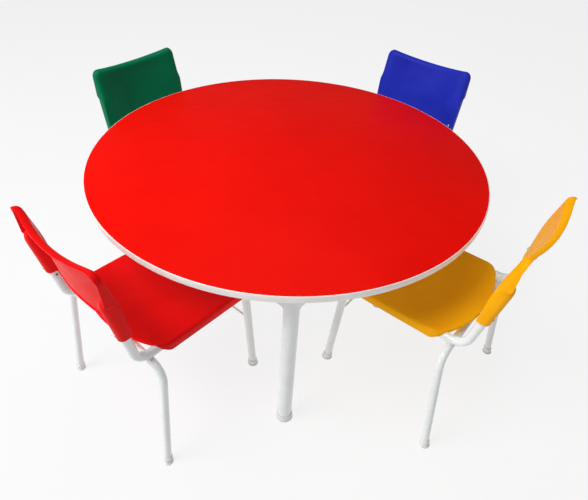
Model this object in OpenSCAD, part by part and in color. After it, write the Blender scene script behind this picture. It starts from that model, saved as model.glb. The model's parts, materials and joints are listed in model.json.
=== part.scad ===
// Round children's table with four matching moulded chairs. Millimetres, +Z up.
// The origin is on the floor under the middle of the set.

/* [Table] */
// Height of the tabletop above the floor
table_h = 540; // [480:5:620]
// Diameter of the tabletop over its edge moulding
table_d = 1104; // [1060:2:1200]
// Thickness of the tabletop with both laminates
top_t = 18; // [15:1:25]
// Thickness of each laminate
laminate_t = 1; // [0.6:0.1:1.5]
// Thickness of the edge moulding outside the board
edge_t = 3; // [2:0.5:4]
// Diameter of each table leg
leg_d = 38.1; // [32:0.1:44]
// Radius of the circle that the legs stand on
leg_circle_r = 486; // [460:1:495]
// Height of the apron rails
rail_h = 50; // [30:1:60]
// Width of the apron rails
rail_w = 25; // [15:1:30]
// Height of the apron rails' lower edge above the floor
rail_z = 438; // [400:1:445]
// Side of the square plate on each leg
plate_w = 90; // [80:1:100]
// Thickness of the leg plates
plate_t = 3; // [2:0.5:4]

/* [Chair places: bearing from the table, distance, turn from facing the middle] */
// Table's middle, right of the set's middle
table_x = -18; // [-20:1:0]
// Table's middle, behind the set's middle
table_y = 4; // [-8:1:8]
// Red chair: bearing in degrees
red_bearing = -133.7; // [-138:0.1:-130]
// Red chair: distance
red_reach = 469; // [460:1:520]
// Yellow chair: bearing in degrees
yellow_bearing = -38.1; // [-46:0.1:-36]
// Yellow chair: distance
yellow_reach = 473; // [460:1:520]
// Yellow chair: turn in degrees
yellow_turn = -3; // [-5:0.1:3]
// Green chair: bearing in degrees
green_bearing = 138.9; // [132:0.1:142]
// Green chair: distance
green_reach = 447; // [440:1:520]
// Blue chair: bearing in degrees
blue_bearing = 43.6; // [40:0.1:48]
// Blue chair: distance
blue_reach = 480; // [460:1:520]
// Blue chair: turn in degrees
blue_turn = 2.8; // [-3:0.1:5]

/* [Chair frame] */
// Diameter of the side frame tubes
frame_d = 22.2; // [19:0.1:25.4]
// Diameter of the rear leg tube
arch_d = 19; // [16:0.1:22.2]
// Wall of the chair and table tubes
wall_t = 1.5; // [1:0.1:2]
// Distance of each side frame from the middle of the chair
frame_x = 145; // [135:1:150]
// Height of the seat rails' centreline
rail_level = 345; // [330:1:360]
// Front foot, forward of the chair's middle
front_foot_y = 185; // [170:1:200]
// Lean of the front legs in degrees
front_lean = 4.9; // [2:0.1:8]
// Bend radius at the top of the front legs
front_bend_r = 55; // [45:1:60]
// Bend radius between rail and upright
rear_bend_r = 40; // [35:1:50]
// Where the rear bend starts, behind the chair's middle
rear_bend_y = 138; // [130:1:145]
// Recline of the uprights in degrees
recline = 10; // [6:0.5:12]
// Length of the straight uprights
upright_l = 181; // [175:1:190]
// Rear feet, from the middle to each side
rear_foot_x = 208; // [195:1:215]
// Rear feet, behind the chair's middle
rear_foot_y = 185; // [175:1:200]
// Outward splay of the rear legs in degrees
rear_splay = 2.8; // [1:0.1:4]
// Bend radius of the rear legs
arch_bend_r = 40; // [35:1:45]
// Diameter of the front crossbar
crossbar_d = 6; // [5:0.5:10]
// Height of the front crossbar
crossbar_z = 218; // [180:1:240]

/* [Chair shells] */
// Half width of the seat
seat_half_w = 166; // [162:1:172]
// Rear edge of the seat, behind the chair's middle
seat_rear = 162; // [155:1:165]
// Front edge of the seat, forward of the chair's middle
seat_front = 158; // [150:1:162]
// Depth of the seat's turned-down rim
seat_rim_h = 27; // [22:1:30]
// How far the seat dips in the middle
seat_dish = 9; // [6:1:9]
// Wall of the seat and backrest
shell_t = 4; // [3:0.5:5]
// Half width of the backrest
back_half_w = 160.5; // [158:0.5:164]
// Height of the backrest's upper corners
back_top = 648; // [630:1:655]
// Dip of the backrest's upper edge in the middle
back_top_dip = 8; // [0:1:12]
// Height of the sleeves' lower ends
back_low = 447; // [440:1:455]
// Rise of the backrest's lower edge in the middle
back_arch = 18; // [8:1:22]
// How far the backrest's upper edge is turned back
back_lip = 16; // [10:1:18]
// Radius of the backrest's curve seen from above
back_curve_r = 600; // [550:10:800]

/* [Hidden] */
chairs = ["red", "yellow", "green", "blue"];
chair_parts = [
    "seat", "backrest", "left_side_frame", "right_side_frame", "rear_leg_arch", "front_crossbar",
    "seat_beam", "seat_tabs", "seat_screws", "back_rivets", "foot_caps"
];
leg_names = ["right_leg", "back_leg", "left_leg", "front_leg"];
rail_names = ["apron_rail_1", "apron_rail_2", "apron_rail_3", "apron_rail_4"];

$fn = 64;
eps = 0.05;          // clearance between fitted pieces
sealed = 1;          // overrun of every cutting tool
lap = 0.5;           // reach of a straight tube into its bend
bend_swell = 0.05;   // extra radius of a bend
paint = "white";

// table
top_r = table_d / 2 - edge_t;
core_t = top_t - 2 * laminate_t;
under_z = table_h - top_t;
leg_top = under_z - plate_t;
cap_floor = 5;       // plastic under each leg
plate_hole_at = plate_w / 2 - 11;
screw_r = 2.4;
screw_reach = 12;

// side frame, in the chair's YZ plane
frame_r = frame_d / 2;
arch_r = arch_d / 2;
front_turn = 90 - front_lean;
front_tangent = front_bend_r * tan(front_turn / 2);
front_corner_y = front_foot_y - rail_level * tan(front_lean);
front_bend_y = front_corner_y - front_tangent;
front_leg_l = rail_level / cos(front_lean) - front_tangent;
rear_turn = 90 - recline;
upright_y = -rear_bend_y - rear_bend_r * sin(rear_turn);
upright_z = rail_level + rear_bend_r * (1 - cos(rear_turn));

// rear legs, in a plane that leans back
arch_z = rail_level - frame_r - arch_r - eps;
arch_y = -rear_bend_y - 5;
arch_lean = atan((rear_foot_y + arch_y) / arch_z);
arch_drop = arch_z / cos(arch_lean);
arch_turn = 90 - rear_splay;
arch_tangent = arch_bend_r * tan(arch_turn / 2);
arch_corner_x = rear_foot_x - arch_drop * tan(rear_splay);

// seat
rail_top = rail_level + frame_r;
seat_lift = 0.9;     // keeps the shell thick enough over the rails
seat_side_z = rail_top + shell_t + seat_lift;
seat_mid_z = seat_side_z - seat_dish;
dish_r = (pow(seat_half_w, 2) + pow(seat_dish, 2)) / (2 * seat_dish);
seat_rear_r = 302;
seat_front_r = 1400;
seat_rear_corner_r = 36;
seat_front_corner_r = 30;
tab_z = rail_level;
tab_x = frame_x - 22;
tab_ys = [-95, 60];
boss_r = 7;

// backrest, in a frame whose Z runs up the uprights from the sleeves' lower ends
sleeve_r = frame_r + shell_t;
sleeve_l = (upright_l - (back_low - upright_z) / cos(recline)) + shell_t;
back_h = (back_top - back_low) / cos(recline);
sleeve_y = upright_y - (back_low - upright_z) * tan(recline);
curve_y = sleeve_r + sqrt(pow(back_curve_r, 2) - pow(frame_x, 2));
rivet_z = 16;
rivet_r = 2;

// ---------- helpers ----------

// Puts children along a line from p, leaning by `lean` towards -Y as it rises.
module leaning(p, lean) {
    translate(p) rotate([lean, 0, 0]) children();
}

// A straight tube that starts at the origin and rises along Z.
module tube(r, h) {
    difference() {
        cylinder(r = r, h = h);
        translate([0, 0, -sealed]) cylinder(r = r - wall_t, h = h + 2 * sealed);
    }
}

// A round bar bent about the Z axis, from the bearing `start` through `turn` degrees. It is a
// hair thicker than the straight bars, whose ends run `lap` into it.
module bend(r, bend_r, start, turn) {
    rotate(start) rotate_extrude(angle = turn, $fn = 96) translate([bend_r, 0])
        circle(r = r + bend_swell);
}

// A straight bar along Z that laps into a bend at the ends that are asked for.
module straight(r, h, lap_low, lap_high) {
    translate([0, 0, -lap_low]) cylinder(r = r, h = h + lap_low + lap_high);
}

// Everything below the height z.
module below(z) {
    translate([-400, -400, z - 100]) cube([800, 800, 100]);
}

function polar(c, r, a) = [c[0] + r * cos(a), c[1] + r * sin(a)];

// One end of a rounded outline: a wide arc of radius R whose middle is at y = end,
// met by corner arcs of radius r that run into straight sides at x = +w and -w.
function end_points(w, end, R, r) =
    let (yc = end + R, yk = yc - sqrt(pow(R - r, 2) - pow(w - r, 2)), t = atan((w - r) / (yc - yk)))
    concat(
        [for (i = [0:8]) polar([-(w - r), yk], r, 180 + (90 - t) * i / 8)],
        [for (i = [-5:5]) polar([0, yc], R, -90 + t * i / 6)],
        [for (i = [0:8]) polar([w - r, yk], r, t - 90 + (90 - t) * i / 8)]
    );
function flipped(points) = [for (p = points) [-p[0], -p[1]]];

// Outline of the seat from above, drawn `inset` inside its edge.
module seat_outline(inset) {
    w = seat_half_w - inset;
    polygon(concat(
        end_points(w, -seat_rear + inset, seat_rear_r - inset, seat_rear_corner_r - inset),
        flipped(end_points(w, -seat_front + inset, seat_front_r - inset, seat_front_corner_r - inset))
    ));
}

// The space above the dished surface that lies `drop` under the seat's top.
module above_dish(drop) {
    translate([0, 0, seat_mid_z + dish_r])
        rotate([90, 0, 0]) cylinder(r = dish_r + drop, h = 800, center = true, $fn = 360);
}

// ---------- table ----------

module at_legs() {
    for (i = [0:3]) rotate(90 * i) translate([leg_circle_r, 0, 0]) children();
}

module at_plate_holes() {
    at_legs() for (x = [-1, 1], y = [-1, 1]) translate([x * plate_hole_at, y * plate_hole_at, 0]) children();
}

module screw_pilots(r) {
    at_plate_holes() translate([0, 0, under_z - sealed]) cylinder(r = r, h = screw_reach + 2 * sealed);
}

module tabletop_board() {
    color("burlywood") difference() {
        translate([0, 0, under_z + laminate_t]) cylinder(r = top_r, h = core_t, $fn = 180);
        screw_pilots(screw_r + eps);
    }
}

module tabletop_laminate() {
    color("red") translate([0, 0, table_h - laminate_t]) cylinder(r = top_r, h = laminate_t, $fn = 180);
}

module tabletop_backer() {
    color(paint) difference() {
        translate([0, 0, under_z]) cylinder(r = top_r, h = laminate_t, $fn = 180);
        screw_pilots(screw_r + eps);
    }
}

module edge_band() {
    round_r = edge_t - 0.5;
    color(paint) translate([0, 0, under_z]) rotate_extrude($fn = 180) translate([top_r, 0]) difference() {
        union() {
            translate([0, round_r]) square([edge_t, top_t - 2 * round_r]);
            square([edge_t - round_r, top_t]);
            for (z = [round_r, top_t - round_r])
                translate([edge_t - round_r, z]) circle(r = round_r, $fn = 32);
        }
        translate([-2 * round_r, -sealed]) square([2 * round_r, top_t + 2 * sealed]);
    }
}

module table_leg(i) {
    color(paint) rotate(90 * (i % 4)) translate([leg_circle_r, 0, cap_floor])
        tube(leg_d / 2, leg_top - cap_floor);
}

module apron_rail(i) {
    span = leg_circle_r * sqrt(2);
    color(paint) rotate(90 * i + 45) translate([leg_circle_r / sqrt(2), 0, rail_z]) difference() {
        translate([-rail_w / 2, -span / 2, 0]) cube([rail_w, span, rail_h]);
        translate([-rail_w / 2 + wall_t, -span, wall_t])
            cube([rail_w - 2 * wall_t, 2 * span, rail_h - 2 * wall_t]);
        for (y = [-1, 1]) translate([0, y * span / 2, -sealed])
            cylinder(r = leg_d / 2 + eps, h = rail_h + 2 * sealed);
    }
}

module leg_plates() {
    color(paint) difference() {
        at_legs() translate([-plate_w / 2, -plate_w / 2, leg_top]) cube([plate_w, plate_w, plate_t]);
        at_plate_holes() translate([0, 0, leg_top - sealed])
            cylinder(r = screw_r + eps, h = plate_t + 2 * sealed);
    }
}

module plate_screws() {
    head_r = 4.5;
    head_t = 2.5;
    color("silver") at_plate_holes() {
        translate([0, 0, leg_top - head_t]) cylinder(r = head_r, h = head_t);
        translate([0, 0, leg_top - head_t]) cylinder(r = screw_r, h = head_t + plate_t + screw_reach);
    }
}

module table_foot_caps() {
    cap_r = leg_d / 2 + 2;
    color(paint) at_legs() difference() {
        union() {
            cylinder(r = cap_r, h = 24);
            cylinder(r = cap_r + 1.5, h = 6);
        }
        translate([0, 0, cap_floor]) cylinder(r = leg_d / 2 + eps, h = 30);
    }
}

// ---------- chair ----------

// Turns a plan drawn on X and Y into one that stands on Y and Z.
module upright_plan() {
    rotate([90, 0, 90]) children();
}

// A bar along the side frame's centreline: front leg, bend, rail, rear bend and upright.
module side_bar(r, overrun) {
    leaning([0, front_foot_y, 0], front_lean) straight(r, front_leg_l, 0, lap);
    translate([0, front_bend_y, rail_level - front_bend_r]) upright_plan()
        bend(r, front_bend_r, front_lean, front_turn);
    translate([0, front_bend_y, rail_level]) rotate([90, 0, 0])
        straight(r, front_bend_y + rear_bend_y, lap, lap);
    translate([0, -rear_bend_y, rail_level + rear_bend_r]) upright_plan()
        bend(r, rear_bend_r, -90 - rear_turn, rear_turn);
    leaning([0, upright_y, upright_z], recline) straight(r, upright_l, lap, overrun);
}

module side_frame() {
    difference() {
        side_bar(frame_r, 0);
        side_bar(frame_r - wall_t, sealed);
        below(cap_floor);
        back_frame() translate([0, 0, rivet_z]) rotate([90, 0, 0])
            cylinder(r = rivet_r + eps, h = 40, center = true);
    }
}

module left_side_frame() {
    color(paint) translate([-frame_x, 0, 0]) side_frame();
}

module right_side_frame() {
    color(paint) translate([frame_x, 0, 0]) side_frame();
}

// Puts children in the plane of the rear legs: X across, Z up, at the arch's top.
module arch_plane() {
    translate([0, arch_y, arch_z]) rotate([-arch_lean, 0, 0]) children();
}

// A bar along the centreline of the rear legs, across the top and down both sides.
module arch_bar(r) {
    top_x = arch_corner_x - arch_tangent;
    translate([-top_x, 0, 0]) rotate([0, 90, 0]) straight(r, 2 * top_x, lap, lap);
    for (side = [0, 1]) mirror([side, 0, 0]) {
        translate([top_x, 0, -arch_bend_r]) rotate([90, 0, 0])
            bend(r, arch_bend_r, rear_splay, arch_turn);
        translate([arch_corner_x, 0, 0]) rotate([0, 180 - rear_splay, 0])
            translate([0, 0, arch_tangent]) straight(r, arch_drop - arch_tangent, lap, 20);
    }
}

module rear_leg_arch() {
    color(paint) difference() {
        arch_plane() arch_bar(arch_r);
        arch_plane() arch_bar(arch_r - wall_t);
        below(cap_floor);
    }
}

module front_crossbar() {
    y = front_foot_y - crossbar_z * tan(front_lean);
    x = frame_x - frame_r;
    color(paint) translate([-x, y, crossbar_z]) rotate([0, 90, 0]) cylinder(r = crossbar_d / 2, h = 2 * x);
}

module seat_beam() {
    beam_r = 7;
    x = frame_x - 5;
    color(paint) difference() {
        translate([-x, front_bend_y - 20, seat_mid_z - shell_t - beam_r - 0.5])
            rotate([0, 90, 0]) tube(beam_r, 2 * x);
        for (side = [-1, 1]) translate([side * frame_x, 200, rail_level]) rotate([90, 0, 0])
            cylinder(r = frame_r + eps, h = 400);
    }
}

module at_tabs() {
    for (x = [-1, 1], y = tab_ys) translate([x * tab_x, y, 0]) children();
}

module seat_tabs() {
    color(paint) difference() {
        at_tabs() translate([-11, -10, tab_z - 3]) cube([22, 20, 3]);
        for (x = [-1, 1]) translate([x * frame_x, 200, rail_level]) rotate([90, 0, 0])
            cylinder(r = frame_r + eps, h = 400);
        at_tabs() translate([0, 0, tab_z - 5]) cylinder(r = 2.55, h = 10);
    }
}

module seat_screws() {
    color("silver") at_tabs() translate([0, 0, tab_z - 5.5]) {
        cylinder(r = 4.5, h = 2.5);
        cylinder(r = 2.5, h = 11);
    }
}

// The space under the seat's rim where it rises towards the back.
module rear_cut() {
    upright_plan() linear_extrude(800, center = true)
        polygon([[-80, 300], [-80, rail_level - 12], [-140, rail_level + 1], [-400, rail_level + 1], [-400, 300]]);
}

module seat(shade) {
    color(shade) difference() {
        union() {
            difference() {
                translate([0, 0, seat_side_z - seat_rim_h])
                    linear_extrude(seat_rim_h) seat_outline(0);
                difference() {
                    translate([0, 0, seat_side_z - seat_rim_h - sealed])
                        linear_extrude(seat_rim_h + sealed) seat_outline(shell_t);
                    above_dish(shell_t);
                }
            }
            at_tabs() translate([0, 0, tab_z + eps]) cylinder(r = boss_r, h = 9);
        }
        above_dish(0);
        rear_cut();
        at_tabs() translate([0, 0, tab_z - sealed]) cylinder(r = 2.55, h = 6.6 + sealed);
        for (x = [-1, 1]) translate([x * frame_x, 0, 0]) side_bar(frame_r + eps, 0);
    }
}

// Puts children in the backrest's own frame: Z runs up the uprights.
module back_frame() {
    leaning([0, sleeve_y, back_low], recline) children();
}

// Outline of the backrest, drawn `inset` inside its edge.
module backrest_outline(inset) {
    w = back_half_w - inset;
    corner = 24 - inset;
    top = back_h - inset;
    dip_r = (pow(back_half_w, 2) + pow(back_top_dip, 2)) / (2 * back_top_dip);
    arch_R = (pow(frame_x - sleeve_r, 2) + pow(back_arch, 2)) / (2 * back_arch);
    difference() {
        union() {
            translate([-w, 0]) square([2 * w, top - corner]);
            translate([-w + corner, 0]) square([2 * (w - corner), top]);
            for (x = [-1, 1]) translate([x * (w - corner), top - corner]) circle(r = corner);
        }
        translate([0, back_h - back_top_dip + dip_r]) circle(r = dip_r + inset, $fn = 360);
        translate([0, back_arch - arch_R]) circle(r = arch_R, $fn = 360);
    }
}

// Everything between the backrest's curved front face and `depth` behind it.
module back_curve(depth) {
    translate([0, curve_y, -sealed]) difference() {
        cylinder(r = back_curve_r + depth, h = back_h + 2 * sealed, $fn = 360);
        translate([0, 0, -sealed]) cylinder(r = back_curve_r, h = back_h + 4 * sealed, $fn = 360);
    }
}

// The edge that turns back along the backrest's top and down to the sleeves.
module back_rim() {
    intersection() {
        rotate([90, 0, 0]) translate([0, 0, -80]) linear_extrude(160) difference() {
            backrest_outline(0);
            backrest_outline(shell_t);
            translate([-200, -sealed]) square([400, sleeve_l + 6 + sealed]);
        }
        back_curve(back_lip);
    }
}

module backrest(shade) {
    color(shade) back_frame() difference() {
        union() {
            intersection() {
                rotate([90, 0, 0]) translate([0, 0, -80]) linear_extrude(160) backrest_outline(0);
                back_curve(shell_t);
            }
            back_rim();
            for (x = [-1, 1]) translate([x * frame_x, 0, 0]) {
                cylinder(r = sleeve_r, h = sleeve_l);
                translate([0, 0, sleeve_l]) sphere(r = sleeve_r);
            }
        }
        for (x = [-1, 1]) translate([x * frame_x, 0, -sealed]) {
            cylinder(r = frame_r + eps, h = sleeve_l - shell_t + sealed + eps);
            translate([0, 40, rivet_z + sealed]) rotate([90, 0, 0]) cylinder(r = rivet_r + eps, h = 80);
        }
    }
}

module back_rivets() {
    head_r = 4;
    head_t = 1.6;
    rear_reach = sleeve_r + 0.1;
    front_reach = sleeve_r + 1.2;
    color("silver") back_frame() for (x = [-1, 1]) translate([x * frame_x, 0, rivet_z])
        rotate([90, 0, 0]) {
            translate([0, 0, -front_reach]) cylinder(r = rivet_r, h = front_reach + rear_reach);
            for (z = [-front_reach - head_t, rear_reach]) translate([0, 0, z])
                cylinder(r = head_r, h = head_t);
        }
}

// A flanged cap on a leg of radius r that rises from the origin, leaning and splayed.
module foot_cap(r, lean, splay) {
    difference() {
        union() {
            difference() {
                rotate([lean, 0, 0]) rotate([0, splay, 0]) translate([0, 0, -10])
                    cylinder(r = r + 2, h = 32);
                below(0);
            }
            cylinder(r = r + 4, h = 4);
        }
        difference() {
            rotate([lean, 0, 0]) rotate([0, splay, 0]) translate([0, 0, -10])
                cylinder(r = r + eps, h = 60);
            below(cap_floor);
        }
    }
}

module foot_caps() {
    color(paint) for (x = [-1, 1]) {
        translate([x * frame_x, front_foot_y, 0]) foot_cap(frame_r, front_lean, 0);
        translate([x * rear_foot_x, -rear_foot_y, 0]) foot_cap(arch_r, -arch_lean, -x * rear_splay);
    }
}

// Stands a chair, whose front is +Y, at its place round the table.
module place(bearing, reach, turn) {
    rotate(bearing) translate([reach, 0, 0]) rotate(90 + turn) children();
}

module in_place(chair) {
    if (chair == "red") place(red_bearing, red_reach, 0) children();
    if (chair == "yellow") place(yellow_bearing, yellow_reach, yellow_turn) children();
    if (chair == "green") place(green_bearing, green_reach, 0) children();
    if (chair == "blue") place(blue_bearing, blue_reach, blue_turn) children();
}

module chair_part(part, shade) {
    if (part == "seat") seat(shade);
    if (part == "backrest") backrest(shade);
    if (part == "left_side_frame") left_side_frame();
    if (part == "right_side_frame") right_side_frame();
    if (part == "rear_leg_arch") rear_leg_arch();
    if (part == "front_crossbar") front_crossbar();
    if (part == "seat_beam") seat_beam();
    if (part == "seat_tabs") seat_tabs();
    if (part == "seat_screws") seat_screws();
    if (part == "back_rivets") back_rivets();
    if (part == "foot_caps") foot_caps();
}

// ---------- assembly ----------

translate([table_x, table_y, 0]) {
    tabletop_board();
    tabletop_laminate();
    tabletop_backer();
    edge_band();
    leg_plates();
    plate_screws();
    table_foot_caps();
    for (i = [0:3]) {
        table_leg(i);
        apron_rail(i);
    }
    for (c = chairs) for (p = chair_parts)
        in_place(c) chair_part(p, c);
}
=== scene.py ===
"""A round children's table and its four moulded chairs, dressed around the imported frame.

Pieces are drawn in millimetres in their own frame (a chair's is X right, Y ahead, Z up) and
placed in the row frame in metres.
"""
import json
import math

import bmesh
import bpy
from mathutils import Matrix, Vector


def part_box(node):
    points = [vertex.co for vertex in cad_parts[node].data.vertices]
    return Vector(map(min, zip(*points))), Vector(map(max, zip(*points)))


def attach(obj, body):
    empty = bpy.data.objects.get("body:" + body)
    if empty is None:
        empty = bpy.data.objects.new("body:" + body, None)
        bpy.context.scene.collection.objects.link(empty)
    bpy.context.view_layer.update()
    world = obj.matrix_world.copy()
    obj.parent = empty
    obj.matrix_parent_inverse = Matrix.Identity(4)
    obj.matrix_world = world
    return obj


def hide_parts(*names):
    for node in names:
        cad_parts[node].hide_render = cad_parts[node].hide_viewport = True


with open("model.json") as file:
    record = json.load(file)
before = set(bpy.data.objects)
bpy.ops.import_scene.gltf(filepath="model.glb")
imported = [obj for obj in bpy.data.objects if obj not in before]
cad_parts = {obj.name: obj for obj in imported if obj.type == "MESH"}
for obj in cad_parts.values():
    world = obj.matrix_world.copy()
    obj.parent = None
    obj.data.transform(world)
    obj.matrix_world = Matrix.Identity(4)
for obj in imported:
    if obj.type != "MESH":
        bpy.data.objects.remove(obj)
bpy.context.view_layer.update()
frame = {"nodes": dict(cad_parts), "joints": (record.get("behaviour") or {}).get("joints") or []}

MM = 0.001
table_low, table_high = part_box("tabletop_laminate")
TABLE_MIDDLE = Vector(((table_low.x + table_high.x) / 2, (table_low.y + table_high.y) / 2, 0))
TABLE_PLACE = Matrix.Translation(TABLE_MIDDLE)
COLOURS = ("red", "yellow", "green", "blue")
CLOSE = (0, 0.15, 0.5, 1.1, 2.0, 3.2, 4.8, 7.0, 10.0, 14.0)  # mesh lines near an edge

# table
TABLE_H = 540
TOP_R, BAND_R, TOP_T = 549, 552, 18
LEG_R, LEG_CIRCLE = 19.05, 486
RAIL_W, RAIL_Z, RAIL_H = 25, 438, 50
PLATE_W, PLATE_T = 90, 3

# chair frame
FRAME_X, FRAME_R = 145, 11.1
RAIL_LEVEL = 345
FRONT_FOOT_Y, FRONT_LEAN = 185, math.radians(4.9)
REAR_FOOT_X, REAR_FOOT_Y = 208, 185
REAR_SPLAY, REAR_LEAN = math.radians(2.8), math.radians(7.38)
ARCH_R, ARCH_Y, ARCH_Z = 9.5, -143, 324.35
CROSSBAR_R, CROSSBAR_Z = 3, 218
SCREW_X, SCREW_YS = 123, (-95, 60)  # the seat's four screws

# seat
SEAT_HALF_W = 166
SEAT_REAR = (162, 302, 36)  # distance of the end, its radius, its corners' radius
SEAT_FRONT = (158, 1400, 30)
SEAT_TOP, SEAT_DISH, SEAT_LOW = 361, 9, 334
SEAT_RISE = 18.5  # how much shorter the skirt is at the rear
SEAT_WALL = 4
TAB_T = 3

# backrest, in a frame that reclines with the uprights
RECLINE = math.radians(10)
BACK_ORIGIN = (0, -189.55, 447)
BACK_HALF_W, BACK_H, BACK_CORNER, BACK_DIP, BACK_ARCH = 160.5, 200, 24, 11, 18
BACK_WALL = 4
LIP, LIP_TALL = 16, 14  # the upper edge that is rolled back
FLARE = 13  # how much deeper the side edges are over the sleeves
SLEEVE_R, SLEEVE_L = 15.1, 115
RIVET_S = 16


# ---------- mesh helpers ----------

def srgb(r, g, b):
    """A display colour, 0 to 255, as the linear colour that shaders take."""
    return tuple(((c / 255 + 0.055) / 1.055) ** 2.4 for c in (r, g, b)) + (1.0,)


def step(low, high, x):
    t = min(max((x - low) / (high - low), 0.0), 1.0)
    return t * t * (3 - 2 * t)


def spaced(low, high, n):
    """Mesh lines from low to high: close together at both ends, n even spaces between."""
    inner = CLOSE[-1]
    first = [low + t for t in CLOSE[:-1]]
    last = [high - t for t in reversed(CLOSE[:-1])]
    return first + [low + inner + (high - low - 2 * inner) * i / n for i in range(n + 1)] + last


def loft(rings, closed_ends=True):
    """Points and faces of a skin over rings of equal length."""
    n = len(rings[0])
    points = [p for ring in rings for p in ring]
    faces = [
        (i * n + j, i * n + (j + 1) % n, (i + 1) * n + (j + 1) % n, (i + 1) * n + j)
        for i in range(len(rings) - 1)
        for j in range(n)
    ]
    if closed_ends:
        faces += [tuple(range(n)), tuple(range(len(points) - n, len(points)))]
    return points, faces


def ring_loop(rings):
    """Points and faces of a skin over rings that come back to the first one."""
    points, faces = loft(rings, closed_ends=False)
    n, last = len(rings[0]), (len(rings) - 1) * len(rings[0])
    faces += [(last + j, last + (j + 1) % n, (j + 1) % n, j) for j in range(n)]
    return points, faces


def lathe(profile, segments=64, place=None):
    """A body of revolution about Z from its (radius, height) profile, from axis to axis."""
    rings = [
        [
            (r * math.cos(a), r * math.sin(a), z)
            for a in (2 * math.pi * k / segments for k in range(segments))
        ]
        for r, z in profile
    ]
    points, faces = loft(rings)
    return moved(points, place), faces


def moved(points, place):
    return points if place is None else [tuple(place @ Vector(p)) for p in points]


def sweep(path, radius, segments=12, loop=False):
    """A round bar along a path; radius is a number or a function of the place along it."""
    path = [Vector(p) for p in path]
    n = len(path)
    rings, across = [], None
    for i, p in enumerate(path):
        ahead = path[(i + 1) % n] if loop or i < n - 1 else p
        behind = path[i - 1] if loop or i > 0 else p
        along = (ahead - behind).normalized()
        if across is None:
            across = along.orthogonal()
        across = (across - along * across.dot(along)).normalized()
        side = along.cross(across)
        r = radius(i / (n - 1)) if callable(radius) else radius
        rings.append([
            tuple(p + (across * math.cos(a) + side * math.sin(a)) * r)
            for a in (2 * math.pi * k / segments for k in range(segments))
        ])
    return ring_loop(rings) if loop else loft(rings)


def bead(path, r, loop=False):
    """A weld bead: a bar with the ripples that the torch leaves."""
    length = sum((Vector(b) - Vector(a)).length for a, b in zip(path, path[1:]))
    ripples = max(4, round(length / 1.8))
    return sweep(path, lambda t: r * (1 + 0.13 * math.cos(2 * math.pi * ripples * t)), 8, loop)


def add_piece(name, parts, material, slot, body, place=None, replaces=(), sharp=40):
    """One object from (points, faces) parts in millimetres, moved by place into the row frame."""
    mesh = bpy.data.meshes.new(name)
    points, faces = [], []
    for p, f in parts:
        faces += [tuple(i + len(points) for i in face) for face in f]
        points += p
    mesh.from_pydata(points, [], faces)
    mesh.transform((place or Matrix.Identity(4)) @ Matrix.Scale(MM, 4))
    shape = bmesh.new()
    shape.from_mesh(mesh)
    bmesh.ops.remove_doubles(shape, verts=shape.verts, dist=1e-6)
    bmesh.ops.dissolve_degenerate(shape, edges=shape.edges, dist=1e-7)
    bmesh.ops.recalc_face_normals(shape, faces=shape.faces)
    shape.to_mesh(mesh)
    shape.free()
    piece = bpy.data.objects.new(name, mesh)
    bpy.context.scene.collection.objects.link(piece)
    finish_piece(piece, material, slot, body, replaces, sharp)
    return piece


def finish_piece(piece, material, slot, body, replaces=(), sharp=40):
    mesh = piece.data
    mesh.materials.clear()
    mesh.materials.append(material)
    mesh.polygons.foreach_set("use_smooth", [True] * len(mesh.polygons))
    mesh.set_sharp_from_angle(angle=math.radians(sharp))
    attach(piece, body)
    if replaces:
        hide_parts(*replaces)


# ---------- materials ----------

class Nodes:
    """A material's node tree, with short calls for the textures that all the finishes use."""

    def __init__(self, name):
        self.material = bpy.data.materials.new(name)
        self.material.use_nodes = True
        self.tree = self.material.node_tree
        self.shader = self.tree.nodes["Principled BSDF"]
        self.place = self.add("ShaderNodeTexCoord").outputs["Object"]

    def add(self, kind, **values):
        node = self.tree.nodes.new(kind)
        for key, value in values.items():
            setattr(node, key, value)
        return node

    def link(self, a, b):
        self.tree.links.new(a, b)

    def noise(self, scale, detail=3.0, rough=0.55, stretch=(1, 1, 1)):
        node = self.add("ShaderNodeTexNoise")
        node.inputs["Scale"].default_value = scale
        node.inputs["Detail"].default_value = detail
        node.inputs["Roughness"].default_value = rough
        if stretch == (1, 1, 1):
            self.link(self.place, node.inputs["Vector"])
        else:
            mapping = self.add("ShaderNodeMapping")
            mapping.inputs["Scale"].default_value = stretch
            self.link(self.place, mapping.inputs["Vector"])
            self.link(mapping.outputs["Vector"], node.inputs["Vector"])
        return node.outputs["Fac"]

    def ramp(self, fac, *stops):
        node = self.add("ShaderNodeValToRGB")
        elements = node.color_ramp.elements
        while len(elements) < len(stops):
            elements.new(0.5)
        for element, (at, colour) in zip(elements, stops):
            element.position = at
            element.color = colour if hasattr(colour, "__len__") else (colour,) * 3 + (1,)
        self.link(fac, node.inputs["Fac"])
        return node.outputs["Color"]

    def between(self, fac, low, high):
        node = self.add("ShaderNodeMapRange")
        node.inputs["From Min"].default_value = 0.3
        node.inputs["From Max"].default_value = 0.7
        node.inputs["To Min"].default_value = low
        node.inputs["To Max"].default_value = high
        self.link(fac, node.inputs["Value"])
        return node.outputs["Result"]

    def bump(self, *layers):
        """Bump from (height, strength, distance in metres) layers."""
        normal = None
        for height, strength, distance in layers:
            node = self.add("ShaderNodeBump")
            node.inputs["Strength"].default_value = strength
            node.inputs["Distance"].default_value = distance
            self.link(height, node.inputs["Height"])
            if normal:
                self.link(normal, node.inputs["Normal"])
            normal = node.outputs["Normal"]
        self.link(normal, self.shader.inputs["Normal"])

    def set(self, **values):
        for key, value in values.items():
            self.shader.inputs[key.replace("_", " ")].default_value = value


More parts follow.
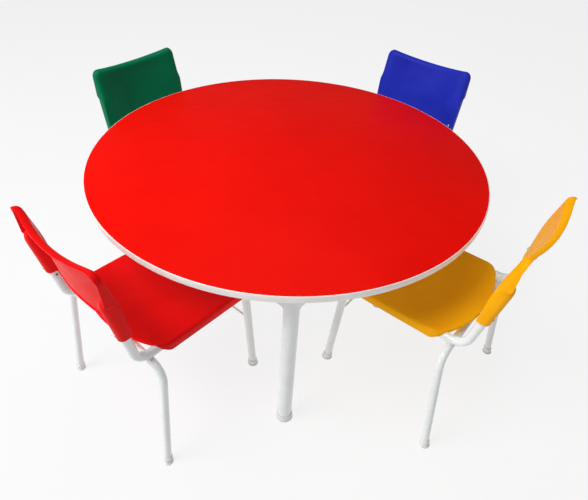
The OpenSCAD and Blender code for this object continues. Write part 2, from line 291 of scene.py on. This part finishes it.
def moulded_plastic(name, dark, light, rough=0.42):
    """Polypropylene with the fine grain of a spark-eroded mould and slow flow marks."""
    n = Nodes(name)
    n.link(n.ramp(n.noise(9, 4), (0.3, dark), (0.7, light)), n.shader.inputs["Base Color"])
    n.link(n.between(n.noise(40, 3), rough - 0.05, rough + 0.06), n.shader.inputs["Roughness"])
    n.bump((n.noise(1400, 2), 0.18, 0.0003), (n.noise(22, 2), 0.12, 0.0012))
    n.set(IOR=1.49, Specular_IOR_Level=0.07)
    return n.material


def painted_steel(name):
    """Baked white powder coat: gloss with a slight orange peel."""
    n = Nodes(name)
    tint = n.ramp(n.noise(14, 4), (0.3, srgb(226, 229, 228)), (0.7, srgb(236, 239, 238)))
    n.link(tint, n.shader.inputs["Base Color"])
    n.link(n.between(n.noise(60, 3), 0.16, 0.27), n.shader.inputs["Roughness"])
    n.bump((n.noise(520, 2), 0.10, 0.0004), (n.noise(70, 2), 0.06, 0.0008))
    n.set(Coat_Weight=0.2, Coat_Roughness=0.12)
    return n.material


def red_laminate():
    """Decorative laminate: a slightly pebbled satin face with faint wipe marks."""
    n = Nodes("red_laminate_face")
    tone = n.ramp(n.noise(3.2, 5), (0.3, srgb(228, 10, 1)), (0.72, srgb(240, 17, 3)))
    n.link(tone, n.shader.inputs["Base Color"])
    marks = n.noise(16, 6, 0.7, (1, 5, 1))
    n.link(n.between(marks, 0.42, 0.56), n.shader.inputs["Roughness"])
    n.bump((n.noise(900, 2), 0.10, 0.0003), (n.noise(7, 2), 0.05, 0.002))
    n.set(Specular_IOR_Level=0.04)
    return n.material


def simple_plastic(name, dark, light, rough, grain=700):
    n = Nodes(name)
    n.link(n.ramp(n.noise(18, 4), (0.3, dark), (0.7, light)), n.shader.inputs["Base Color"])
    n.link(n.between(n.noise(90, 3), rough - 0.05, rough + 0.05), n.shader.inputs["Roughness"])
    n.bump((n.noise(grain, 2), 0.12, 0.0003))
    return n.material


def plated_steel():
    n = Nodes("zinc_plate")
    n.link(n.ramp(n.noise(240, 4), (0.3, srgb(150, 152, 156)), (0.7, srgb(196, 198, 200))),
           n.shader.inputs["Base Color"])
    n.link(n.between(n.noise(400, 3), 0.28, 0.45), n.shader.inputs["Roughness"])
    n.bump((n.noise(900, 3), 0.15, 0.0002))
    n.set(Metallic=1.0)
    return n.material


def fibre_board():
    n = Nodes("fibre_board")
    fibres = n.noise(160, 6, 0.7, (1, 1, 4))
    n.link(n.ramp(fibres, (0.3, srgb(140, 104, 66)), (0.7, srgb(178, 142, 98))),
           n.shader.inputs["Base Color"])
    n.link(n.between(fibres, 0.75, 0.9), n.shader.inputs["Roughness"])
    n.bump((fibres, 0.3, 0.0005))
    return n.material


PLASTIC = {
    "red": moulded_plastic("red_moulding", srgb(226, 8, 8), srgb(240, 14, 14)),
    "yellow": moulded_plastic("yellow_moulding", srgb(250, 168, 0), srgb(255, 180, 0)),
    "green": moulded_plastic("green_moulding", srgb(0, 104, 68), srgb(2, 116, 76)),
    "blue": moulded_plastic("blue_moulding", srgb(28, 40, 168), srgb(38, 52, 184)),
}
PAINT = painted_steel("white_paint")
LAMINATE = red_laminate()
BACKER = simple_plastic("white_backer_face", srgb(226, 226, 222), srgb(236, 236, 232), 0.45)
BAND = simple_plastic("edge_moulding", srgb(236, 232, 228), srgb(246, 242, 238), 0.34)
CAPS = simple_plastic("cap_moulding", srgb(226, 226, 224), srgb(238, 238, 236), 0.40)
DARK = simple_plastic("hole_plug", srgb(26, 26, 28), srgb(40, 40, 42), 0.5)
ZINC = plated_steel()
BOARD = fibre_board()
PAINTED_TABLE = ["right_leg", "back_leg", "left_leg", "front_leg", "leg_plates"] + [
    f"apron_rail_{i}" for i in (1, 2, 3, 4)
]
PAINTED_CHAIR = ["left_side_frame", "right_side_frame", "rear_leg_arch", "front_crossbar",
                 "seat_beam", "seat_tabs"]


def paint_cad():
    finishes = {"tabletop_board": BOARD, "tabletop_backer": BACKER}
    finishes.update({n: PAINT for n in PAINTED_TABLE})
    finishes.update({f"{c}_chair_{n}": PAINT for c in COLOURS for n in PAINTED_CHAIR})
    for name, material in finishes.items():
        mesh = frame["nodes"][name].data
        mesh.materials.clear()
        mesh.materials.append(material)
        mesh.polygons.foreach_set("material_index", [0] * len(mesh.polygons))


# ---------- table ----------

def table_top():
    lip = 0.35
    low = TABLE_H - 1
    face = [(0.01, low), (TOP_R - 0.05, low), (TOP_R - 0.05, TABLE_H - lip),
            (TOP_R - 0.15, TABLE_H - 0.1), (TOP_R - lip, TABLE_H), (0.01, TABLE_H)]
    add_piece("table_laminate_face", [lathe(face, 256)], LAMINATE, "red_laminate", "table",
              TABLE_PLACE, ["tabletop_laminate"])
    middle, half, out = TABLE_H - TOP_T / 2, TOP_T / 2, BAND_R - TOP_R
    curve = [math.radians(-90 + 180 * i / 24) for i in range(25)]
    outer = [
        (TOP_R + out * max(math.cos(a), 0) ** 0.6,
         middle + half * math.copysign(abs(math.sin(a)) ** 0.8, math.sin(a)))
        for a in curve
    ]
    segments = 256
    rings = [
        [(r * math.cos(t), r * math.sin(t), z) for r, z in outer]
        for t in (2 * math.pi * k / segments for k in range(segments))
    ]
    add_piece("table_edge_moulding", [ring_loop(rings)], BAND, "white_edge_plastic", "table",
              TABLE_PLACE, ["edge_band"], sharp=60)


def screw_head(r, height):
    """A button head with a socket, its flat side on Z = 0 and its crown towards -Z."""
    socket = 0.42 * r
    return [(0.01, 0), (r * 0.96, 0), (r, -0.25 * height), (0.9 * r, -0.62 * height),
            (0.68 * r, -0.9 * height), (1.15 * socket, -height), (socket, -0.97 * height),
            (0.95 * socket, -0.45 * height), (0.01, -0.4 * height)]


def table_feet():
    """The legs' plastic caps, with a rounded sole, a step and a moulded lip."""
    r = LEG_R + 2
    profile = [(0.01, 0), (r - 0.6, 0), (r + 0.6, 0.35), (r + 1.3, 1.2), (r + 1.5, 2.4),
               (r + 1.5, 4.8), (r + 1.1, 5.7), (r + 0.2, 6.2), (r, 7), (r, 21.5), (r - 0.3, 23),
               (r - 1.1, 24), (LEG_R + 0.05, 24), (LEG_R + 0.05, 5), (0.01, 5)]
    spots = [Matrix.Rotation(math.radians(90 * i), 4, "Z") @ Matrix.Translation((LEG_CIRCLE, 0, 0))
             for i in range(4)]
    add_piece("table_feet", [lathe(profile, 72, m) for m in spots], CAPS, "white_cap_plastic",
              "table", TABLE_PLACE, ["table_foot_caps"])
    hole = PLATE_W / 2 - 11
    head = screw_head(4.5, 2.5)
    shank = [(0.01, 0), (2.4, 0), (2.4, 14), (0.01, 15)]
    screws = []
    for m in spots:
        for x in (-hole, hole):
            for y in (-hole, hole):
                at = m @ Matrix.Translation((x, y, TABLE_H - TOP_T - PLATE_T))
                screws += [lathe(head, 24, at), lathe(shank, 16, at)]
    add_piece("table_plate_screws", screws, ZINC, "zinc_steel", "table", TABLE_PLACE,
              ["plate_screws"])


def table_welds():
    """Beads where the apron rails meet the legs, and round the legs under their plates."""
    reach = math.sqrt(LEG_R ** 2 - (RAIL_W / 2) ** 2)
    weld_z = TABLE_H - TOP_T - PLATE_T - 0.6
    beads = []
    for i in range(4):
        leg = Matrix.Rotation(math.radians(90 * i), 4, "Z") @ Matrix.Translation((LEG_CIRCLE, 0, 0))
        for turn in (135, -135):
            at = leg @ Matrix.Rotation(math.radians(turn), 4, "Z")
            for side in (-1, 1):
                y = side * RAIL_W / 2
                path = [at @ Vector((reach + 0.3, y, RAIL_Z + RAIL_H * k / 40)) for k in range(41)]
                beads.append(bead(path, 1.9))
        ring = [
            leg @ Vector((LEG_R * math.cos(a), LEG_R * math.sin(a), weld_z))
            for a in (2 * math.pi * k / 72 for k in range(72))
        ]
        beads.append(bead(ring, 2.0, loop=True))
    add_piece("table_welds", beads, PAINT, "white_painted_steel", "table", TABLE_PLACE)


# ---------- seat and backrest ----------

def end_curve(x, half_w, end):
    """How far an end of a rounded outline lies from the middle at x, and its corner."""
    far, big, small = end
    middle = far - big
    at_x = half_w - small
    at_y = middle + math.sqrt((big - small) ** 2 - at_x ** 2)
    turn = math.atan2(at_x, at_y - middle)
    if abs(x) <= big * math.sin(turn):
        return middle + math.sqrt(big ** 2 - x ** 2)
    return at_y + math.sqrt(max(small ** 2 - (abs(x) - at_x) ** 2, 0))


def end_depth(x, y, half_w, end):
    """How deep (x, y) lies inside an end of the outline, measured square to its edge."""
    far, big, small = end
    middle = far - big
    at_x = half_w - small
    at_y = middle + math.sqrt((big - small) ** 2 - at_x ** 2)
    turn = math.atan2(at_x, at_y - middle)
    dx, dy = abs(x) - at_x, y - at_y
    if dx > 0 and dy > 0 and math.atan2(dx, dy) >= turn:
        return small - math.hypot(dx, dy)
    return min(big - math.hypot(x, y - middle), half_w - abs(x))


def sheet_body(columns, rows_at, top, bottom):
    """A closed shell over a grid of columns: rows_at(x) gives the places along each column,
    and top and bottom give the two skins' points at (x, place)."""
    upper = [[top(x, y) for y in rows_at(x)] for x in columns]
    lower = [[bottom(x, y) for y in rows_at(x)] for x in columns]
    nx, ny = len(columns), len(upper[0])
    points = [p for line in upper + lower for p in line]
    under = nx * ny
    faces = []
    for i in range(nx - 1):
        for j in range(ny - 1):
            a = i * ny + j
            faces.append((a, a + ny, a + ny + 1, a + 1))
            faces.append((under + a, under + a + 1, under + a + ny + 1, under + a + ny))
    for i in range(nx - 1):
        for a in (i * ny, i * ny + ny - 1):
            faces.append((a, a + ny, under + a + ny, under + a))
    for j in range(ny - 1):
        for a in (j, (nx - 1) * ny + j):
            faces.append((a, a + 1, under + a + 1, under + a))
    return points, faces


def quarter(r, d):
    """How far a rounded edge of radius r has dropped at the depth d inside it."""
    return r - math.sqrt(max(r ** 2 - (r - min(d, r)) ** 2, 0))


def seat_height(x, y):
    """The seat's upper face before its rim is rolled: dished across, with a lifted rear
    edge and a front edge that falls away under the knees."""
    dished = SEAT_TOP - SEAT_DISH * (1 - (x / SEAT_HALF_W) ** 2)
    rear_lift = 5.0 * step(-105, -160, y) * (1 - 0.8 * (x / SEAT_HALF_W) ** 2)
    front_fall = 9.0 * step(95, 160, y)
    return min(dished + rear_lift, SEAT_TOP) - front_fall


def seat_depth(x, y):
    """How deep (x, y) lies inside the seat's outline."""
    return min(end_depth(x, -y, SEAT_HALF_W, SEAT_REAR), end_depth(x, y, SEAT_HALF_W, SEAT_FRONT))


def seat_shell():
    """The seat: rolled edges, a skirt that is short at the rear, and hollows over the rails."""
    roll, rear_roll, hem = 8.0, 4.5, 1.3

    def at_rear(y):
        return step(-90, -130, y)

    def top(x, y):
        r = roll + (rear_roll - roll) * at_rear(y)
        return (x, y, seat_height(x, y) - quarter(r, seat_depth(x, y)))

    def bottom(x, y):
        d = seat_depth(x, y)
        skirt = SEAT_LOW + SEAT_RISE * at_rear(y) + quarter(hem, d)
        inside = seat_height(x, y) - SEAT_WALL
        over_rail = (FRAME_R + 0.2) ** 2 - (abs(x) - FRAME_X) ** 2
        if over_rail > 0:
            inside = max(inside, RAIL_LEVEL + math.sqrt(over_rail))
        under = skirt + (inside - skirt) * step(3.0, 6.5, d)
        return (x, y, min(under, top(x, y)[2] - 1.2))

    return sheet_body(
        spaced(-SEAT_HALF_W, SEAT_HALF_W, 44),
        lambda x: spaced(-end_curve(x, SEAT_HALF_W, SEAT_REAR),
                         end_curve(x, SEAT_HALF_W, SEAT_FRONT), 40),
        top, bottom,
    )


def back_top(x):
    """The backrest's upper edge: dipped in the middle, with round corners."""
    dipped = BACK_H - BACK_DIP * (1 - (x / (BACK_HALF_W - 12)) ** 2)
    over = abs(x) - (BACK_HALF_W - BACK_CORNER)
    corner = quarter(BACK_CORNER, BACK_CORNER - over) if over > 0 else 0
    return min(dipped, BACK_H) - corner


def back_bottom(x):
    """The backrest's lower edge: an arch between the sleeves."""
    half_w = 108
    return BACK_ARCH * math.cos(math.pi * x / (2 * half_w)) ** 2 if abs(x) < half_w else 0.0


def back_depth(x, s):
    """How deep (x, s) lies inside the backrest's whole outline."""
    dx, dy = abs(x) - (BACK_HALF_W - BACK_CORNER), s - (BACK_H - BACK_CORNER)
    if dx > 0 and dy > 0:
        return BACK_CORNER - math.hypot(dx, dy)
    return min(BACK_HALF_W - abs(x), back_top(x) - s, s - back_bottom(x))


def back_face(x, s):
    """The sitter's side: flat bands over the sleeves and a bowl between them."""
    band, crown = 14.5, 5.5
    bowl, shallower_below, shallower_above, bowl_half_w = 23.5, 11.5, 9, 128
    t = s / BACK_H
    bands = band + crown * math.sin(math.pi * min(max(t, 0), 1)) ** 2
    below, above = max(1 - 2 * t, 0), max(2 * t - 1, 0)
    deep = bowl - shallower_below * below ** 2 - shallower_above * above ** 2
    hollow = 1 - (x / bowl_half_w) ** 2
    return bands - deep * (hollow + math.sqrt(hollow ** 2 + 0.02)) / 2


def upper_depth(x, s):
    """How deep (x, s) lies inside the backrest's upper and side edges."""
    dx, dy = abs(x) - (BACK_HALF_W - BACK_CORNER), s - (BACK_H - BACK_CORNER)
    if dx > 0 and dy > 0:
        return max(BACK_CORNER - math.hypot(dx, dy), 0)
    return max(min(BACK_HALF_W - abs(x), back_top(x) - s), 0)


def backrest_shell():
    """The backrest: a thin panel whose upper and side edges turn back, and two tapered sleeves."""
    edge, rib, rib_w = 2.6, 8.0, 4.6

    def rolled(s):
        return step(SLEEVE_L - 25, SLEEVE_L + 8, s)

    def front(x, s):
        roll = LIP / LIP_TALL * quarter(LIP_TALL, upper_depth(x, s))
        plain = quarter(edge, back_depth(x, s))
        return (x, back_face(x, s) - plain - (roll - plain) * rolled(s), s)

    def rear(x, s):
        d, over = back_depth(x, s), upper_depth(x, s)
        ribbed = 1 - step(rib_w, rib_w + 2.5, d)
        plain = BACK_WALL + (rib - BACK_WALL) * ribbed - quarter(1.8, d)
        above_sleeve = (s - SLEEVE_L) / (BACK_H - BACK_CORNER - SLEEVE_L)
        turned = LIP + 0.8 + FLARE * min(max(1 - above_sleeve, 0), 1)
        if over > BACK_WALL:
            inner_r = LIP_TALL - BACK_WALL
            turned = BACK_WALL + (turned - BACK_WALL) * quarter(inner_r, over - BACK_WALL) / inner_r
        panel = back_face(x, s) - plain - (turned - plain) * rolled(s)
        past = math.hypot(abs(x) - FRAME_X, 0.5 * max(s - SLEEVE_L + SLEEVE_R, 0))
        pocket = -math.sqrt(max(SLEEVE_R ** 2 - past ** 2, 0))
        return (x, panel + (min(pocket, panel) - panel) * step(-3.2, 0.6, SLEEVE_R - past), s)

    seam = (-6, -4, -2.8, -1.8, -1, -0.4, 0.1, 0.6, 1.4, 2.6, 4.4, 7)
    inner = [FRAME_X - SLEEVE_R + t for t in seam]
    core = [i * 118 / 22 for i in range(23)]
    outer = [BACK_HALF_W - t for t in reversed(CLOSE[:-1])] + [FRAME_X]
    right = sorted(set(core + inner + outer))
    columns = [-x for x in reversed(right) if x > 0] + right

    def rows(x):
        low, high = back_bottom(x), back_top(x)
        taper = (-18, -14, -10, -6, -2, 2, 5, 8, 10.5, 12.5, 14, 15.1, 16.2, 18.2)
        dome = [SLEEVE_L + t for t in taper]
        near = [low + t for t in CLOSE] + [high - t for t in CLOSE]
        between = [low + 14 + (dome[0] - low - 14) * i / 16 for i in range(1, 16)]
        last = [dome[-1] + (high - 14 - dome[-1]) * i / 10 for i in range(1, 10)]
        return sorted(near + between + dome + last)

    return sheet_body(columns, rows, front, rear)


def back_place():
    return Matrix.Translation(BACK_ORIGIN) @ Matrix.Rotation(RECLINE, 4, "X")


def bored(piece, place):
    """Cuts the uprights' sockets into a backrest."""
    depth = SLEEVE_L - BACK_WALL
    tools = [
        lathe([(0.01, -20), (FRAME_R + 0.25, -20), (FRAME_R + 0.25, depth), (0.01, depth)], 48,
              back_place() @ Matrix.Translation((x, 0, 0)))
        for x in (-FRAME_X, FRAME_X)
    ]
    mesh = bpy.data.meshes.new("socket_tool")
    points, faces = [], []
    for p, f in tools:
        faces += [tuple(i + len(points) for i in face) for face in f]
        points += p
    mesh.from_pydata(points, [], faces)
    mesh.transform(place @ Matrix.Scale(MM, 4))
    shape = bmesh.new()
    shape.from_mesh(mesh)
    bmesh.ops.recalc_face_normals(shape, faces=shape.faces)
    shape.to_mesh(mesh)
    shape.free()
    tool = bpy.data.objects.new("socket_tool", mesh)
    bpy.context.scene.collection.objects.link(tool)
    cut = piece.modifiers.new("sockets", "BOOLEAN")
    cut.operation, cut.solver, cut.object = "DIFFERENCE", "EXACT", tool
    bpy.context.view_layer.update()
    cut_mesh = bpy.data.meshes.new_from_object(
        piece.evaluated_get(bpy.context.evaluated_depsgraph_get())
    )
    piece.modifiers.clear()
    piece.data = cut_mesh
    bpy.data.objects.remove(tool)


# ---------- chair details ----------

def foot(at, tube_r, lean, splay):
    """A cap on a leaning leg, with a flat sole, a flange, a waist and a lip."""
    r = tube_r + 2
    profile = [(r - 0.2, 0), (r + 1.2, 0.4), (r + 2, 1.3), (r + 2, 3.2), (r + 1.4, 3.9), (r, 4.4),
               (r, 9), (r - 0.35, 9.4), (r - 0.35, 10), (r, 10.4), (r, 20), (r - 0.4, 21.3),
               (r - 1.2, 22), (tube_r + 0.05, 22), (tube_r + 0.05, 5), (0.01, 5)]
    rings = []
    for radius, z in [(0.01, 0)] + profile:
        x, y = at[0] + z * math.tan(splay), at[1] - z * math.tan(lean)
        rings.append([
            (x + radius * math.cos(a), y + radius * math.sin(a), z)
            for a in (2 * math.pi * k / 48 for k in range(48))
        ])
    return loft(rings)


def chair_place(colour):
    """A chair's frame in metres: X right, Y ahead, and the origin on the floor."""
    joint = next(j for j in frame["joints"] if j["child"] == f"{colour}_chair")
    ahead = -Vector(joint["axis"]).normalized()
    right = ahead.cross(Vector((0, 0, 1)))
    low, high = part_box(f"{colour}_chair_seat_screws")
    middle = (low + high) / 2
    origin = Vector((middle.x, middle.y, 0)) - ahead * sum(SCREW_YS) / 2 * MM
    turn = Matrix((right, ahead, Vector((0, 0, 1)))).transposed().to_4x4()
    return Matrix.Translation(origin) @ turn


def chair_welds():
    beads = []
    for side in (-1, 1):
        saddle = []
        for k in range(48):
            a = 2 * math.pi * k / 48
            x, y = 7.5 * math.cos(a), 7.5 * math.sin(a)
            rail = RAIL_LEVEL - math.sqrt(FRAME_R ** 2 - x ** 2)
            arch = ARCH_Z + math.sqrt(ARCH_R ** 2 - y ** 2)
            saddle.append((side * FRAME_X + x, ARCH_Y + y, (rail + arch) / 2))
        beads.append(bead(saddle, 2.1, loop=True))
        rod_y = FRONT_FOOT_Y - CROSSBAR_Z * math.tan(FRONT_LEAN)
        ring = [
            (side * (FRAME_X - FRAME_R + 0.2), rod_y + (CROSSBAR_R + 0.5) * math.cos(a),
             CROSSBAR_Z + (CROSSBAR_R + 0.5) * math.sin(a))
            for a in (2 * math.pi * k / 32 for k in range(32))
        ]
        beads.append(bead(ring, 1.4, loop=True))
    return beads


def chair_screws():
    head, shank = screw_head(4.5, 2.5), [(0.01, 0), (2.5, 0), (2.5, 7.5), (0.01, 8.5)]
    screws = []
    for x in (-SCREW_X, SCREW_X):
        for y in SCREW_YS:
            at = Matrix.Translation((x, y, RAIL_LEVEL - TAB_T))
            screws += [lathe(head, 24, at), lathe(shank, 16, at)]
    return screws


def chair_rivets():
    dome = [(0.01, -0.6), (4, -0.6), (4, 0.25), (3.6, 0.8), (2.7, 1.3), (1.4, 1.65), (0.01, 1.75)]
    rivets = []
    for x in (-FRAME_X, FRAME_X):
        for tilt, y in ((90, -SLEEVE_R), (-90, SLEEVE_R)):
            at = back_place() @ Matrix.Translation((x, y, RIVET_S)) @ Matrix.Rotation(
                math.radians(tilt), 4, "X")
            rivets.append(lathe(dome, 28, at))
    return rivets


def hole_plugs():
    """Dark plugs in the drain holes on the inner sides of the uprights, under the sleeves."""
    dome = [(0.01, -1), (2.6, -1), (2.6, 0.2), (1.9, 0.7), (0.01, 0.9)]
    below_sleeve = 14
    plugs = []
    for side in (-1, 1):
        at = back_place() @ Matrix.Translation((side * (FRAME_X - FRAME_R), 0, -below_sleeve))
        at = at @ Matrix.Rotation(math.radians(-90 * side), 4, "Y")
        plugs.append(lathe(dome, 20, at))
    return plugs


def chair(colour, seat, back, feet, welds, screws, rivets, plugs):
    body, place = f"{colour}_chair", chair_place(colour)
    plastic, slot = PLASTIC[colour], f"{colour}_plastic"
    add_piece(f"{body}_seat_shell", [seat], plastic, slot, body, place, [f"{body}_seat"], 50)
    shell = add_piece(f"{body}_backrest_shell", [back], plastic, slot, body, place,
                      [f"{body}_backrest"], 50)
    bored(shell, place)
    finish_piece(shell, plastic, slot, body, sharp=50)
    add_piece(f"{body}_feet", feet, CAPS, "white_cap_plastic", body, place, [f"{body}_foot_caps"])
    add_piece(f"{body}_welds", welds, PAINT, "white_painted_steel", body, place)
    add_piece(f"{body}_screw_heads", screws, ZINC, "zinc_steel", body, place,
              [f"{body}_seat_screws"])
    add_piece(f"{body}_rivet_heads", rivets, ZINC, "zinc_steel", body, place,
              [f"{body}_back_rivets"])
    add_piece(f"{body}_hole_plugs", plugs, DARK, "zinc_steel", body, place)


def chairs():
    back_points, back_faces = backrest_shell()
    parts = (
        seat_shell(),
        (moved(back_points, back_place()), back_faces),
        [foot((x * FRAME_X, FRONT_FOOT_Y), FRAME_R, FRONT_LEAN, 0) for x in (-1, 1)]
        + [foot((x * REAR_FOOT_X, -REAR_FOOT_Y), ARCH_R, -REAR_LEAN, -x * REAR_SPLAY)
           for x in (-1, 1)],
        chair_welds(), chair_screws(), chair_rivets(), hole_plugs(),
    )
    for colour in COLOURS:
        chair(colour, *parts)


# ---------- stage, light and camera ----------

def floor():
    size = 14
    mesh = bpy.data.meshes.new("floor")
    mesh.from_pydata([(-size, -size, 0), (size, -size, 0), (size, size, 0), (-size, size, 0)], [],
                     [(0, 1, 2, 3)])
    plane = bpy.data.objects.new("floor", mesh)
    bpy.context.scene.collection.objects.link(plane)
    n = Nodes("pale_floor")
    n.link(n.ramp(n.noise(1.5, 3), (0.3, srgb(106, 106, 106)), (0.7, srgb(110, 110, 110))),
           n.shader.inputs["Base Color"])
    n.set(Roughness=0.9, Specular_IOR_Level=0.1)
    n.set(Emission_Color=(1, 1, 1, 1), Emission_Strength=0.81)
    mesh.materials.append(n.material)


def area_light(name, place, aim, size, power, colour=(1, 1, 1)):
    light = bpy.data.lights.new(name, "AREA")
    light.shape, light.size, light.energy, light.color = "DISK", size, power, colour
    lamp = bpy.data.objects.new(name, light)
    bpy.context.scene.collection.objects.link(lamp)
    lamp.location = Vector(place) + TABLE_MIDDLE
    lamp.rotation_euler = (Vector(aim) - Vector(place)).to_track_quat("-Z", "Y").to_euler()


def studio():
    world = bpy.data.worlds.new("studio")
    bpy.context.scene.world = world
    world.use_nodes = True
    world.node_tree.nodes["Background"].inputs["Color"].default_value = (0.95, 0.96, 1.0, 1)
    world.node_tree.nodes["Background"].inputs["Strength"].default_value = 0.22
    area_light("window", (-1.9, -1.1, 3.3), (0, 0, 0.45), 2.0, 95)
    area_light("fill", (-3.6, -1.2, 0.9), (0, 0, 0.35), 1.6, 26)
    area_light("ceiling", (0.2, 0.6, 3.4), (0, 0, 0.4), 2.4, 22)
    bpy.context.scene.view_settings.view_transform = "Standard"


def camera():
    heading, pitch, roll = math.radians(2.6), math.radians(-40.5), math.radians(2.5)
    ahead = Vector((math.sin(heading) * math.cos(pitch), math.cos(heading) * math.cos(pitch),
                    math.sin(pitch)))
    level = Vector((math.cos(heading), -math.sin(heading), 0))
    right = level * math.cos(roll) + level.cross(ahead) * math.sin(roll)
    lens = bpy.data.cameras.new("camera")
    lens.sensor_width, lens.lens, lens.shift_x, lens.shift_y = 36, 31.2, 0.023, -0.002
    view = bpy.data.objects.new("camera", lens)
    bpy.context.scene.collection.objects.link(view)
    turn = Matrix((right, right.cross(ahead), -ahead)).transposed().to_4x4()
    stand = Matrix.Translation((-0.066, -1.263, 1.276))
    view.matrix_world = TABLE_PLACE @ stand @ turn
    bpy.context.scene.camera = view


paint_cad()
table_top()
table_feet()
table_welds()
chairs()
floor()
studio()
camera()
